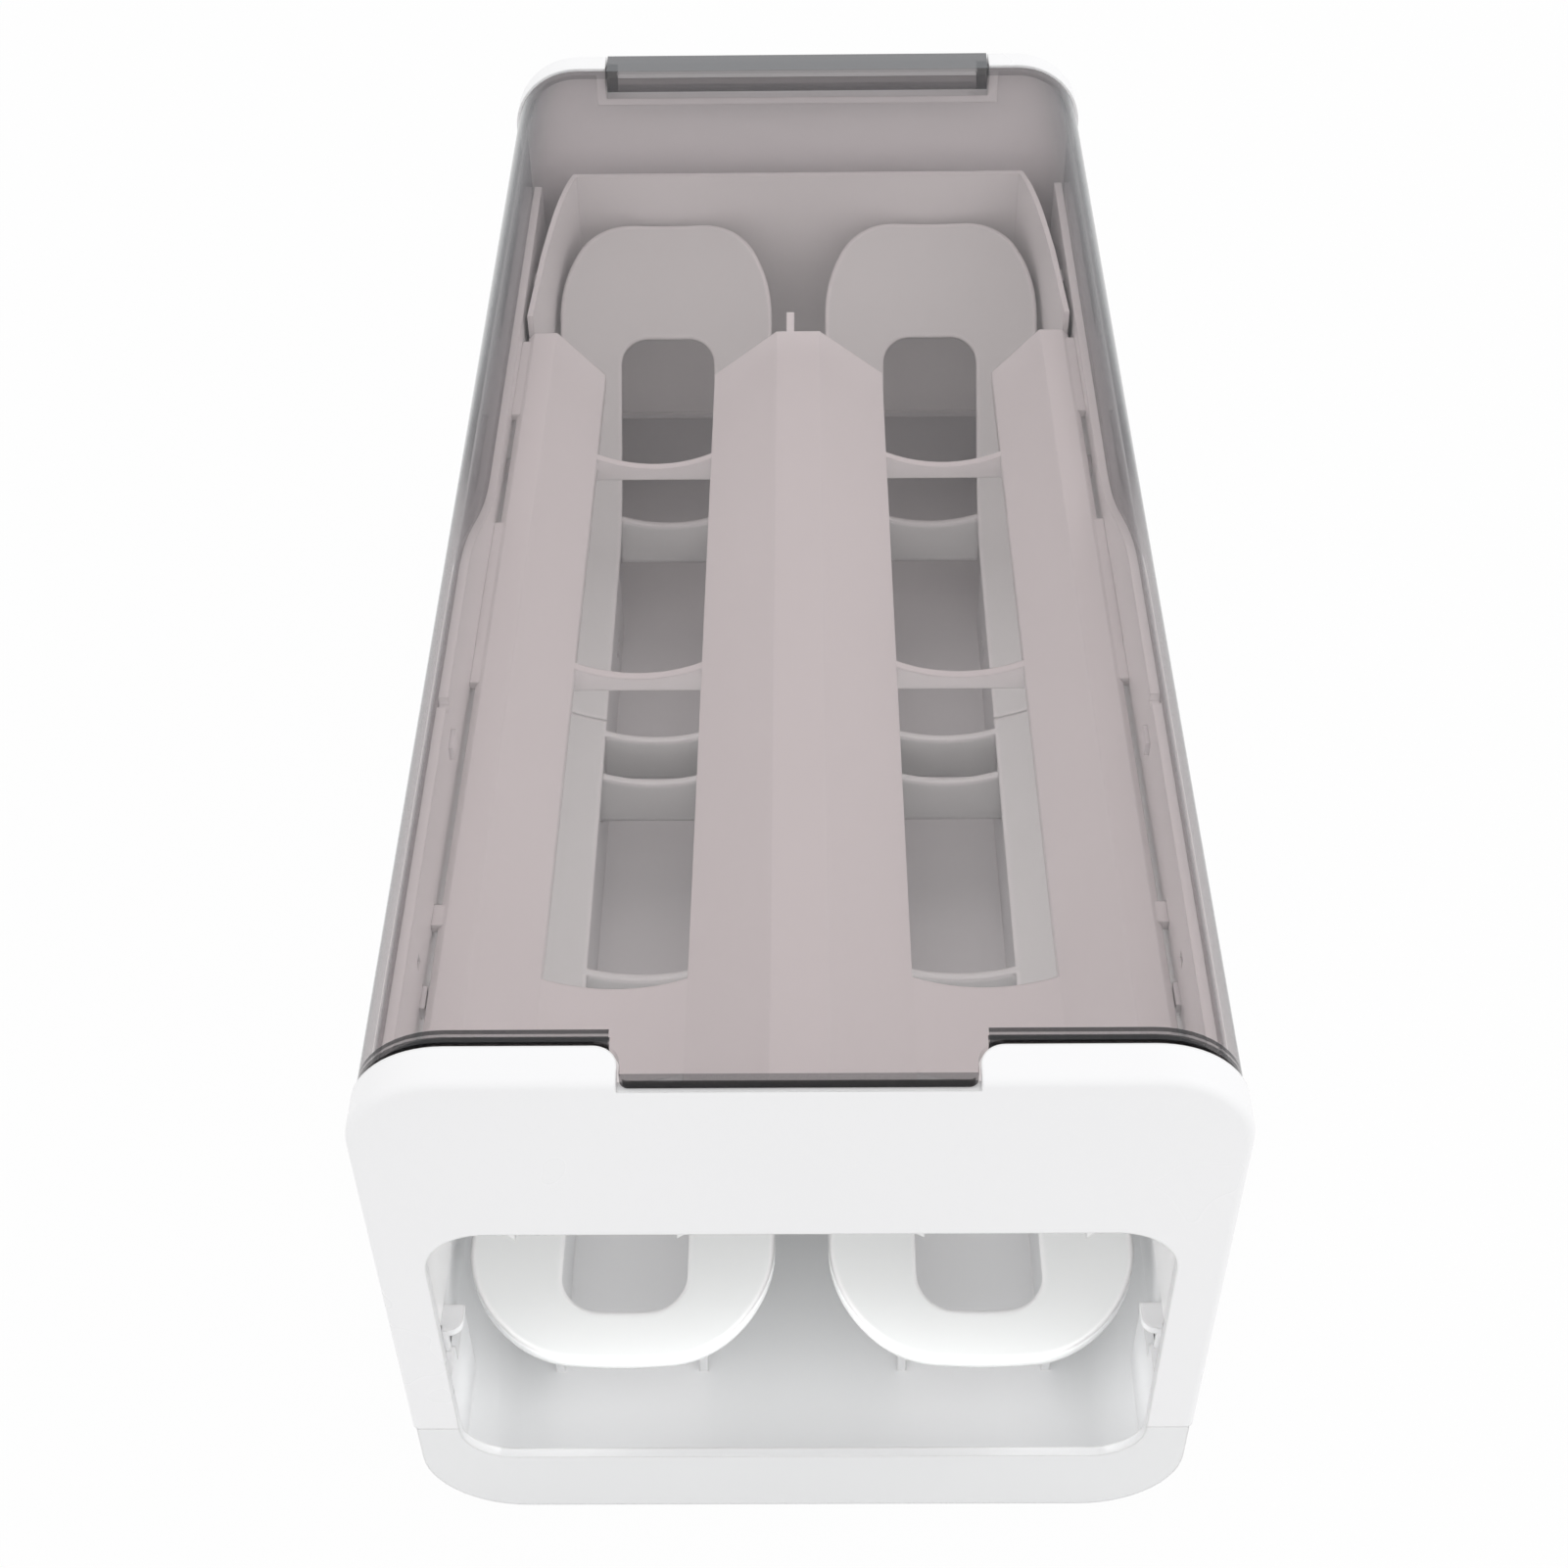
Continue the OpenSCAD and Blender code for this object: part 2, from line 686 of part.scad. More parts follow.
// Rear half of a lane's runner: underlap, level stretch, bend and the ramp that takes the drop
module runner_rear_half() {
    flat_start = joint_y + fit_gap;
    wide = half_rear + overrun;
    slot_len = bend_start - joint_y + 2 * underlap + (bend_r + 2 * wall) * sin(ramp_turn);
    difference() {
        union() {
            intersection() {
                union() {
                    upright(flat_start, bend_start) hollow_sheet(wide, 0, wall);
                    translate([0, bend_start, bend_r]) {
                        rotate([0, 90, 0]) rotate_extrude(angle = ramp_turn, $fn = 120)
                            translate([bend_r, 0]) rotate(90) hollow_sheet(wide, 0, wall);
                        rotate([ramp_turn, 0, 0]) translate([0, 0, -bend_r]) ramp(wide);
                    }
                }
                translate([-half_rear, 0, -hollow_r]) cube([2 * half_rear, 2 * body_l, body_l]);
            }
            upright(flat_start + wall / 2, flat_start + 2 * wall)
                hollow_sheet(half_rear - rim_t, wall / 2, under_depth + wall);
            upright(joint_y - underlap, flat_start + wall)
                hollow_sheet(half_rear - rim_t, under_depth, under_depth + wall);
        }
        translate([-half_runner_slot - plate_reach / 2, joint_y - 2 * underlap, -hollow_r])
            cube([runner_slot + plate_reach, 2 * underlap - wall, 2 * hollow_r]);
        translate([-half_runner_slot, joint_y - 2 * underlap, -hollow_r])
            cube([runner_slot, slot_len, 2 * hollow_r]);
        translate([0, bend_start, bend_r]) rotate([ramp_turn, 0, 0]) translate([0, 0, -bend_r]) ramp_cuts();
    }
    cross_plate(joint_y - underlap, under_depth, plate_reach);
    cross_plate(bend_start + bend_plate, bend_step, overrun);
}

// The straight ramp, a shade thinner than the bend that its root is sunk in
module ramp(half) {
    upright(-overrun, ramp_len) hollow_sheet(half, seam_step, wall - seam_step);
}

// The blind end of the slot and the two rounded corners at the ramp's top
module ramp_cuts() {
    translate([0, 0, -hollow_r]) linear_extrude(2 * hollow_r) {
        tongue_shape(half_runner_slot, -bend_r / 2, ramp_slot_len, slot_end_r);
        both_sides() translate([half_rear, ramp_len]) pad_corner();
    }
}

// What is taken off an upper corner of the ramp, with the square corner at the origin
module pad_corner() {
    turn = atan2(pad_round_h - pad_top_r, pad_side_r - pad_round_w);
    polygon(concat(
        [[-pad_round_w, overrun], [overrun, overrun], [overrun, -pad_round_h]],
        [for (i = [0 : pad_steps])
            [-pad_side_r, -pad_round_h] + pad_side_r * unit(turn * i / pad_steps)],
        [for (i = [1 : pad_steps])
            [-pad_round_w, -pad_top_r] + pad_top_r * unit(turn + (90 - turn) * i / pad_steps)]));
}

function unit(angle) = [cos(angle), sin(angle)];

module lower_runner_rear_right() {
    color(white) placed() in_runner_frame(1) runner_rear_half();
}

module lower_runner_rear_left() {
    color(white) placed() in_runner_frame(-1) runner_rear_half();
}

// Rear guide: a thin wall behind the ramps, with wings that bow inwards and rise towards the rear
module rear_guide() {
    guide_high = guide_low + guide_lift;
    rise_start = guide_back - guide_rise_len;
    color(white) placed() intersection() {
        translate([0, 0, part_z]) linear_extrude(guide_high - part_z) difference() {
            guide_plan(0);
            guide_plan(guide_t);
        }
        across(-body_w, body_w) polygon(concat(
            [[0, 0], [0, guide_low]],
            [for (i = [0 : wave_steps])
                [rise_start + guide_rise_len * i / wave_steps,
                 guide_low + guide_lift * (1 - cos(180 * i / wave_steps)) / 2]],
            [[body_l, guide_high], [body_l, 0]]));
    }
}

// Half the width of the guide at the distance y from the front face
function guide_half(y) =
    let (bow = max(0, y - guide_back + guide_bow_len) / guide_bow_len)
    liner_in - guide_side - guide_draft * (y - guide_front) / (guide_back - guide_front)
        - guide_bow * bow * bow;

// Plan of the guide, drawn in by t
module guide_plan(t) {
    front = guide_front - (t > 0 ? overrun : 0);
    back = guide_back - t;
    edge = [for (i = [0 : wave_steps])
        let (y = guide_front + (back - guide_front) * i / wave_steps) [guide_half(y) - t, y]];
    polygon(concat(
        [[edge[0][0], front]], edge,
        [for (i = [wave_steps : -1 : 0]) [-edge[i][0], edge[i][1]]],
        [[-edge[0][0], front]]));
}

// The smoky cover: arched shell, side skirts, front rim, finger tongue and the hinge at the rear
module cover() {
    color(smoke) placed() {
        difference() {
            union() {
                upright(cover_front, cover_rear) arch_ring(cover_t);
                front_rim();
            }
            across(-body_w, body_w) below_wave(0, slide_gap, -overrun, body_l + overrun);
            rim_relief();
        }
        translate([0, 0, body_h - cover_t]) linear_extrude(cover_t)
            tongue_plan(tongue_w / 2, tongue_front, cover_front, tongue_r, root_r);
        cover_hinge();
    }
}

// Outline of the arched shell, t thick
module arch_ring(t) {
    difference() {
        arch(skin_half, fascia_low_z, body_h, cover_corner);
        translate([0, -t]) arch(skin_half - t, 0, body_h, cover_corner - t);
    }
}

// Thicker front end of the shell, left out behind the tongue
module front_rim() {
    clear_half = tongue_w / 2 + root_r;
    difference() {
        upright(cover_front, cover_front + rim_width) arch_ring(cover_t + rim_depth);
        translate([-clear_half, cover_front - overrun, 0])
            cube([2 * clear_half, rim_width + 2 * overrun, 2 * body_h]);
    }
}

// The front rim stops above the side walls
module rim_relief() {
    both_sides() translate([skin_half - cover_t - 2 * rim_depth, 0, 0])
        cube([2 * rim_depth, body_l, body_h - cover_corner]);
}

// Hinge tab with a web across its root and two ears, each carrying a pin
module cover_hinge() {
    translate([-tab_half, cover_rear - overrun, body_h - cover_t])
        cube([2 * tab_half, hinge_y + ear_r - cover_rear + overrun, cover_t]);
    translate([-tab_half, cover_rear, body_h - web_h]) cube([2 * tab_half, cover_t, web_h]);
    both_sides() {
        translate([tab_half - ear_t, cover_rear, body_h - web_h])
            cube([ear_t, hinge_y - cover_rear, web_h]);
        translate([tab_half - ear_t, hinge_y - overrun, hinge_z])
            cube([ear_t, ear_r + overrun, hinge_drop]);
        translate([tab_half - ear_t, hinge_y, hinge_z]) rotate([0, 90, 0]) {
            cylinder(h = ear_t, r = ear_r);
            cylinder(h = ear_t + slide_gap + ear_t - fit_gap, r = pin_r);
        }
    }
}

base_tray();
front_frame();
rear_panel();
side_wall_left();
side_wall_right();
side_fascia_left();
side_fascia_right();
upper_deck();
rear_guide();
lower_runner_front_left();
lower_runner_front_right();
lower_runner_rear_left();
lower_runner_rear_right();
cover();
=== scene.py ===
"""Looks of a rolling egg dispenser: white moulded box, two-lane decks and a smoky flip-up cover.

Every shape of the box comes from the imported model. This script gives each node its finish, adds the
studio around it and stands the camera where the product photograph was taken from. Metres throughout,
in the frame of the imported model: +Z up, the open window faces -Y, origin at the middle of the footprint.
"""

from __future__ import annotations

import json
import logging
import math
from collections.abc import Mapping
from dataclasses import dataclass, field
from enum import Enum
from typing import Any

import bpy
from mathutils import Matrix, Vector

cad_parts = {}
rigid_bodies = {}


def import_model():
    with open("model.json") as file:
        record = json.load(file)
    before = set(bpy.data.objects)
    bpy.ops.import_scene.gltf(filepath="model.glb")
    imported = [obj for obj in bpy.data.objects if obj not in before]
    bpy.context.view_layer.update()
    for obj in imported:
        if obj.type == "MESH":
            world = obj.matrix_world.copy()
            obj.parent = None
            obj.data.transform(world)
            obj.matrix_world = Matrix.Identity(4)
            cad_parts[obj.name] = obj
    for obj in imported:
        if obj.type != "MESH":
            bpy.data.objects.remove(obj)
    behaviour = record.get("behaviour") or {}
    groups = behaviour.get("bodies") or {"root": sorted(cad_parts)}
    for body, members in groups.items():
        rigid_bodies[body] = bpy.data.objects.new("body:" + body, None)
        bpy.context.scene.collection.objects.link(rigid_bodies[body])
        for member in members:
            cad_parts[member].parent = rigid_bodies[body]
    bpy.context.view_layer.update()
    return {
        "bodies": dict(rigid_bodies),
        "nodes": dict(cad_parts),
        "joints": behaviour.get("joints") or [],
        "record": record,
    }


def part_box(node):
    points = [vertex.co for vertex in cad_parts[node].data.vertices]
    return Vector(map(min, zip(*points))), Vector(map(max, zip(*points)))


LOG = logging.getLogger("egg_dispenser")
MM = 0.001
Colour = tuple[float, float, float]
Point = tuple[float, float, float]


class Part(Enum):
    """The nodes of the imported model, by the name that each has there."""

    TRAY = "base_tray"
    FRONT_FRAME = "front_frame"
    REAR_PANEL = "rear_panel"
    WALL_LEFT = "side_wall_left"
    WALL_RIGHT = "side_wall_right"
    SKIN_LEFT = "side_fascia_left"
    SKIN_RIGHT = "side_fascia_right"
    DECK = "upper_deck"
    GUIDE = "rear_guide"
    RUNNER_FRONT_LEFT = "lower_runner_front_left"
    RUNNER_FRONT_RIGHT = "lower_runner_front_right"
    RUNNER_REAR_LEFT = "lower_runner_rear_left"
    RUNNER_REAR_RIGHT = "lower_runner_rear_right"
    COVER = "cover"


class Op(Enum):
    """Operations of the Math node that the expressions below use."""

    ADD = "ADD"
    SUBTRACT = "SUBTRACT"
    MULTIPLY = "MULTIPLY"
    POWER = "POWER"
    ABSOLUTE = "ABSOLUTE"
    MAXIMUM = "MAXIMUM"
    MINIMUM = "MINIMUM"
    GREATER = "GREATER_THAN"


class Value:
    """A number on the surface: wraps an output socket so that Python's operators add Math nodes."""

    def __init__(self, board: Board, socket: bpy.types.NodeSocket | None) -> None:
        """Keeps the node board and the socket that carries the number.

        Args:
            board: the board that further nodes are added to.
            socket: the output socket to read from, or none for an output node.
        """
        self.board = board
        self.socket = socket

    def _with(self, op: Op, first: Any, second: Any = 0.0) -> Value:
        """Adds one Math node.

        Args:
            op: the operation of the node.
            first: the upper input, a number or a Value.
            second: the lower input, a number or a Value.

        Returns:
            The node's result.
        """
        return self.board.add("ShaderNodeMath", {"operation": op.value}, {0: first, 1: second})

    def __add__(self, other: Any) -> Value:
        """Self plus other."""
        return self._with(Op.ADD, self, other)

    def __radd__(self, other: Any) -> Value:
        """Other plus self."""
        return self._with(Op.ADD, other, self)

    def __sub__(self, other: Any) -> Value:
        """Self minus other."""
        return self._with(Op.SUBTRACT, self, other)

    def __rsub__(self, other: Any) -> Value:
        """Other minus self."""
        return self._with(Op.SUBTRACT, other, self)

    def __mul__(self, other: Any) -> Value:
        """Self times other."""
        return self._with(Op.MULTIPLY, self, other)

    def __rmul__(self, other: Any) -> Value:
        """Other times self."""
        return self._with(Op.MULTIPLY, other, self)

    def __pow__(self, other: Any) -> Value:
        """Self to the power of other."""
        return self._with(Op.POWER, self, other)

    def __abs__(self) -> Value:
        """Size of the number, without its sign."""
        return self._with(Op.ABSOLUTE, self)

    def __gt__(self, other: Any) -> Value:
        """1 where self is greater than other, else 0."""
        return self._with(Op.GREATER, self, other)

    def __lt__(self, other: Any) -> Value:
        """1 where self is less than other, else 0."""
        return self._with(Op.GREATER, other, self)

    def at_most(self, other: Any) -> Value:
        """The smaller of self and other."""
        return self._with(Op.MINIMUM, self, other)

    def at_least(self, other: Any) -> Value:
        """The greater of self and other."""
        return self._with(Op.MAXIMUM, self, other)

    def ramp(self, low: float, high: float) -> Value:
        """A smooth step.

        Args:
            low: where the step is still 0.
            high: where the step has reached 1.

        Returns:
            0 below low, 1 above high, smooth between them.
        """
        settings = {"interpolation_type": "SMOOTHSTEP"}
        inputs = {0: self, 1: low, 2: high, 3: 0.0, 4: 1.0}
        return self.board.add("ShaderNodeMapRange", settings, inputs)


class Board:
    """The node board of one material or of the world."""

    def __init__(self, tree: bpy.types.NodeTree) -> None:
        """Clears the tree and keeps it.

        Args:
            tree: the node tree to work on.
        """
        self.tree = tree
        tree.nodes.clear()

    def add(
        self,
        kind: str,
        settings: Mapping[str, Any] | None = None,
        inputs: Mapping[int | str, Any] | None = None,
        output: int | str = 0,
    ) -> Value:
        """Adds a node: its settings first, then the values and links of its sockets.

        Args:
            kind: the type of the node.
            settings: attributes of the node, such as the operation of a Math node.
            inputs: socket name or number to a number, a colour or a Value.
            output: the output socket that the result reads.

        Returns:
            The output, ready for more arithmetic.
        """
        node = self.tree.nodes.new(kind)
        for name, setting in (settings or {}).items():
            setattr(node, name, setting)
        for key, given in (inputs or {}).items():
            self._feed(node.inputs[key], given)
        return Value(self, node.outputs[output] if node.outputs else None)

    def _feed(self, socket: bpy.types.NodeSocket, given: Any) -> None:
        """Links an input socket to a Value, or sets it to anything else.

        Args:
            socket: the input socket.
            given: a Value, a number, or a colour; a colour of three numbers becomes opaque.
        """
        if isinstance(given, Value):
            self.tree.links.new(given.socket, socket)
        elif socket.type == "RGBA":
            socket.default_value = (*given, 1.0)
        else:
            socket.default_value = given

    def place(self) -> Value:
        """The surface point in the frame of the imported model, as a vector in metres."""
        return self.add("ShaderNodeTexCoord", None, None, "Object")

    def facing(self) -> Value:
        """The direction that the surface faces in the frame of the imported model, as a vector."""
        return self.add("ShaderNodeTexCoord", None, None, "Normal")

    def split(self, vector: Value) -> tuple[Value, Value, Value]:
        """Takes a vector apart.

        Args:
            vector: the vector.

        Returns:
            Its x, y and z.
        """
        node = self.add("ShaderNodeSeparateXYZ", None, {0: vector}).socket.node
        x, y, z = (Value(self, socket) for socket in node.outputs)
        return x, y, z

    def noise(
        self, vector: Value, scale: float, detail: float = 2.0, roughness: float = 0.5
    ) -> Value:
        """Cloudy noise.

        Args:
            vector: where it is read.
            scale: cells to the metre.
            detail: octaves above the first.
            roughness: strength of each octave over the last.

        Returns:
            A number about 0.5.
        """
        inputs = {"Vector": vector, "Scale": scale, "Detail": detail, "Roughness": roughness}
        return self.add("ShaderNodeTexNoise", None, inputs)

    def blend(self, share: Value, first: Colour | Value, second: Colour | Value) -> Value:
        """Mixes two colours.

        Args:
            share: how much of the second.
            first: the colour at 0.
            second: the colour at 1.

        Returns:
            The mixed colour.
        """
        node = self.add("ShaderNodeMix", {"data_type": "RGBA"}).socket.node
        feeds = (("Factor", "VALUE", share), ("A", "RGBA", first), ("B", "RGBA", second))
        for name, kind, given in feeds:
            socket = next(s for s in node.inputs if (s.name, s.type) == (name, kind))
            self._feed(socket, given)
        return Value(self, next(s for s in node.outputs if s.type == "RGBA"))

    def seen(self) -> Value:
        """1 where the camera, gloss or clear plastic looks, 0 where light is gathered."""
        seen = self.add("ShaderNodeLightPath", None, None, "Is Camera Ray")
        path = seen.socket.node
        for name in ("Is Glossy Ray", "Is Transmission Ray"):
            seen = seen.at_least(Value(self, path.outputs[name]))
        return seen


def blank(name: str) -> tuple[bpy.types.Material, Board]:
    """Makes a material with an empty node board.

    Args:
        name: the material's name.

    Returns:
        The material and its board.
    """
    material = bpy.data.materials.new(name)
    material.use_nodes = True
    return material, Board(material.node_tree)


@dataclass(frozen=True)
class Moulded:
    """White injection-moulded plastic with softened edges, a painted highlight along them, and a faint
    mould texture.

    Attributes:
        name: the material's name.
        colour: its colour.
        shade: its colour where the clouds are thickest.
        roughness: its mean roughness.
        edge: radius that the edges are softened to.
        edge_samples: how finely the softened edges are sampled.
        painted_rim: colour painted along the softened edges, a painted highlight.
        highlight_turn: turn of the surface at which the painted highlight begins and is full.
        clouds: cells to the metre of the clouds, and their detail.
        cloud_span: noise at which the clouds begin and are full.
        cloud_share: how much of the shade they bring.
        cloud_gloss: how much roughness they bring.
        grain: cells to the metre of the mould texture, its detail and its roughness.
        peel: strength of the mould texture.
        peel_depth: depth of the mould texture.
        ior: index of refraction.
    """

    name: str
    colour: Colour
    shade: Colour
    roughness: float
    edge: float = 0.5 * MM
    edge_samples: int = 6
    painted_rim: Colour = (0.985, 0.985, 0.985)
    highlight_turn: tuple[float, float] = (0.001, 0.05)
    clouds: tuple[float, float] = (18.0, 3.0)
    cloud_span: tuple[float, float] = (0.35, 0.75)
    cloud_share: float = 0.5
    cloud_gloss: float = 0.16
    grain: tuple[float, float, float] = (900.0, 2.0, 0.6)
    peel: float = 0.08
    peel_depth: float = 0.1 * MM
    ior: float = 1.49

    def build(self) -> bpy.types.Material:
        """Makes the material.

        Returns:
            The finished material.
        """
        material, board = blank(self.name)
        place = board.place()
        clouds = board.noise(place, *self.clouds)
        grain = board.noise(place, *self.grain)
        soft = board.add("ShaderNodeBevel", {"samples": self.edge_samples}, {"Radius": self.edge})
        flat = board.add("ShaderNodeNewGeometry", None, None, "Normal")
        dot = {"operation": "DOT_PRODUCT"}
        turned = 1.0 - board.add("ShaderNodeVectorMath", dot, {0: soft, 1: flat}, "Value")
        shaded = clouds.ramp(*self.cloud_span) * self.cloud_share
        colour = board.blend(shaded, self.colour, self.shade)
        # Painted highlight: the colour turns to painted_rim where the softened normal turns away from the
        # flat one.
        colour = board.blend(turned.ramp(*self.highlight_turn), colour, self.painted_rim)
        bump = {"Strength": self.peel, "Distance": self.peel_depth, "Height": grain, "Normal": soft}
        inputs = {
            "Base Color": colour,
            "Roughness": self.roughness + (clouds - 0.5) * self.cloud_gloss,
            "IOR": self.ior,
            "Normal": board.add("ShaderNodeBump", None, bump),
        }
        shader = board.add("ShaderNodeBsdfPrincipled", None, inputs)
        board.add("ShaderNodeOutputMaterial", None, {"Surface": shader})
        return material


@dataclass(frozen=True)
class CoverEnds:
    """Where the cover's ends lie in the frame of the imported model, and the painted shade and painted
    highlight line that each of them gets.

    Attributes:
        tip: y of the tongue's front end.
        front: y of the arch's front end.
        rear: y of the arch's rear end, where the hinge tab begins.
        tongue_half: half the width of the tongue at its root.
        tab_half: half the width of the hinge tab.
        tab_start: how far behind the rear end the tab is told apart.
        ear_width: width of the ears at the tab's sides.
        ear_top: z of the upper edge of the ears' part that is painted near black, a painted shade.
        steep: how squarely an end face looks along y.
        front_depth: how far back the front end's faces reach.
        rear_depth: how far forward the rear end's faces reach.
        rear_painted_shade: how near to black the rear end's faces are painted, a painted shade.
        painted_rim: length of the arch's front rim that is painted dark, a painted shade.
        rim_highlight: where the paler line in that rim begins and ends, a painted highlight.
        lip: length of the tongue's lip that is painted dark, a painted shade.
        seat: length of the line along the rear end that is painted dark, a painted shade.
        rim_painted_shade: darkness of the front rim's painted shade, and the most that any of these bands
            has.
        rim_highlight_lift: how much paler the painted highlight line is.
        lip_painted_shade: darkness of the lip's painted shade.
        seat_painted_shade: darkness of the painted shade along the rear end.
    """

    tip: float
    front: float = -179.1 * MM
    rear: float = 178.5 * MM
    tongue_half: float = 34.0 * MM
    tab_half: float = 55.0 * MM
    tab_start: float = 0.1 * MM
    ear_width: float = 3.0 * MM
    ear_top: float = 147.5 * MM
    steep: float = 0.8
    front_depth: float = 1.0 * MM
    rear_depth: float = 0.2 * MM
    rear_painted_shade: float = 0.04
    painted_rim: float = 2.8 * MM
    rim_highlight: tuple[float, float] = (1.2 * MM, 1.8 * MM)
    lip: float = 1.5 * MM
    seat: float = 0.35 * MM
    rim_painted_shade: float = 0.86
    rim_highlight_lift: float = 0.4
    lip_painted_shade: float = 0.62
    seat_painted_shade: float = 0.45

    def masks(self, board: Board, x: Value, y: Value, z: Value) -> tuple[Value, Value, Value]:
        """Marks the ends on the surface, with their painted shade and painted highlight line.

        Args:
            board: the board of the cover's material.
            x: the surface point's x.
            y: its y.
            z: its z.

        Returns:
            1 on the hinge tab; up to 1 where the cover is painted near black; darkness of the painted
            shade bands at the ends.
        """
        _, facing_y, _ = board.split(board.facing())
        tab = y > self.rear + self.tab_start
        rear_face = (y > self.rear - self.rear_depth) * (facing_y > self.steep)
        front_face = (y < self.front + self.front_depth) * (facing_y < -self.steep)
        ear = tab * (abs(x) > self.tab_half - self.ear_width) * (z < self.ear_top)
        # Painted shade: the front end faces and the ears are painted near black, the rear end's faces a
        # little.
        painted_black = (front_face + rear_face * self.rear_painted_shade + ear).at_most(1.0)
        painted_rim = (abs(x) > self.tongue_half) * (1.0 - (y > self.front + self.painted_rim))
        rim_highlight = painted_rim * (y > self.front + self.rim_highlight[0]) * (y < self.front + self.rim_highlight[1])
        lip = (abs(x) < self.tongue_half) * (y < self.tip + self.lip)
        seat = (y > self.rear - self.seat) * (1.0 - tab) * (1.0 - rear_face)
        # Painted shade bands along the front rim, the tongue's lip and the rear end, less along the rim's
        # painted highlight line.
        front_painted_bands = painted_rim * self.rim_painted_shade - rim_highlight * self.rim_highlight_lift + lip * self.lip_painted_shade
        painted_bands = (front_painted_bands + seat * self.seat_painted_shade).at_most(self.rim_painted_shade)
        return tab, painted_black, painted_bands


@dataclass(frozen=True)
class SmokyClear:
    """Grey-brown clear plastic: tints what lies behind it, is greyer edge on, and has painted shade on its
    ends.

    A share is how much of a surface is grey plastic, the rest of it being clear.

    Attributes:
        name: the material's name.
        tint: colour that each surface gives to what lies behind it.
        body: colour of the grey plastic.
        ends: its colour where its ends are painted near black, a painted shade.
        veil: share that it has everywhere.
        grazing: further share where it is seen edge on, on the front half.
        grazing_power: how suddenly that share comes.
        grazing_fade: y at which that share begins to grow towards the rear and has doubled.
        tab_share: further share on the hinge tab.
        most: the greatest share away from the ends painted near black.
        ends_share: share in the ends painted near black, a painted shade.
        clouds: cells to the metre of faint clouds, and their detail.
        cloud_share: how much share the clouds bring.
        scratches: cells to the metre of faint scratches, their detail and their roughness.
        scratch_span: noise at which a scratch begins and is full.
        scratch_gloss: how much roughness a scratch brings.
        roughness: its roughness away from scratches.
        ior: index of refraction.
        specular: its specular level.
    """

    name: str
    tint: Colour = (0.912, 0.885, 0.886)
    body: Colour = (0.20, 0.21, 0.22)
    ends: Colour = (0.006, 0.006, 0.007)
    veil: float = 0.05
    grazing: float = 1.3
    grazing_power: int = 6
    grazing_fade: tuple[float, float] = (-20.0 * MM, 60.0 * MM)
    tab_share: float = 0.60
    most: float = 0.95
    ends_share: float = 0.9
    clouds: tuple[float, float] = (9.0, 2.0)
    cloud_share: float = 0.02
    scratches: tuple[float, float, float] = (260.0, 4.0, 0.7)
    scratch_span: tuple[float, float] = (0.74, 0.8)
    scratch_gloss: float = 0.2
    roughness: float = 0.08
    ior: float = 1.3
    specular: float = 0.3

    def build(self, ends: CoverEnds) -> bpy.types.Material:
        """Makes the material.

        Args:
            ends: where the cover's ends lie.

        Returns:
            The finished material.
        """
        material, board = blank(self.name)
        place = board.place()
        x, y, z = board.split(place)
        tab, painted_black, painted_bands = ends.masks(board, x, y, z)
        edge_on = board.add("ShaderNodeLayerWeight", None, {"Blend": 0.5}, "Facing")
        clouds = board.noise(place, *self.clouds)
        scratches = board.noise(place, *self.scratches).ramp(*self.scratch_span)
        grazing = self.grazing * (1.0 + y.ramp(*self.grazing_fade))
        share = self.veil + edge_on**self.grazing_power * grazing + tab * self.tab_share
        share = share + (clouds - 0.5) * self.cloud_share
        # Painted shade: the ends painted near black take ends_share, and the painted bands at least their
        # darkness.
        share = share.at_least(painted_bands).at_most(self.most) * (1.0 - painted_black) + painted_black * self.ends_share
        inputs = {
            # The painted shade darkens the colour towards ends.
            "Base Color": board.blend(painted_black.at_least(painted_bands), self.body, self.ends),
            "Roughness": self.roughness + scratches * self.scratch_gloss,
            "IOR": self.ior,
            "Specular IOR Level": self.specular,
        }
        grey = board.add("ShaderNodeBsdfPrincipled", None, inputs)
        clear = board.add("ShaderNodeBsdfTransparent", None, {"Color": self.tint})
        mixed = board.add("ShaderNodeMixShader", None, {0: share, 1: clear, 2: grey})
        board.add("ShaderNodeOutputMaterial", None, {"Surface": mixed})
        return material


def wear(part: Part, material: bpy.types.Material, frame: Mapping[str, Any]) -> None:
    """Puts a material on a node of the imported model.

    Args:
        part: which node.
        material: its finish.
    """
    thing = frame["nodes"][part.value]
    thing.data.materials.clear()
    thing.data.materials.append(material)
    LOG.info("%s wears %s", part.value, material.name)


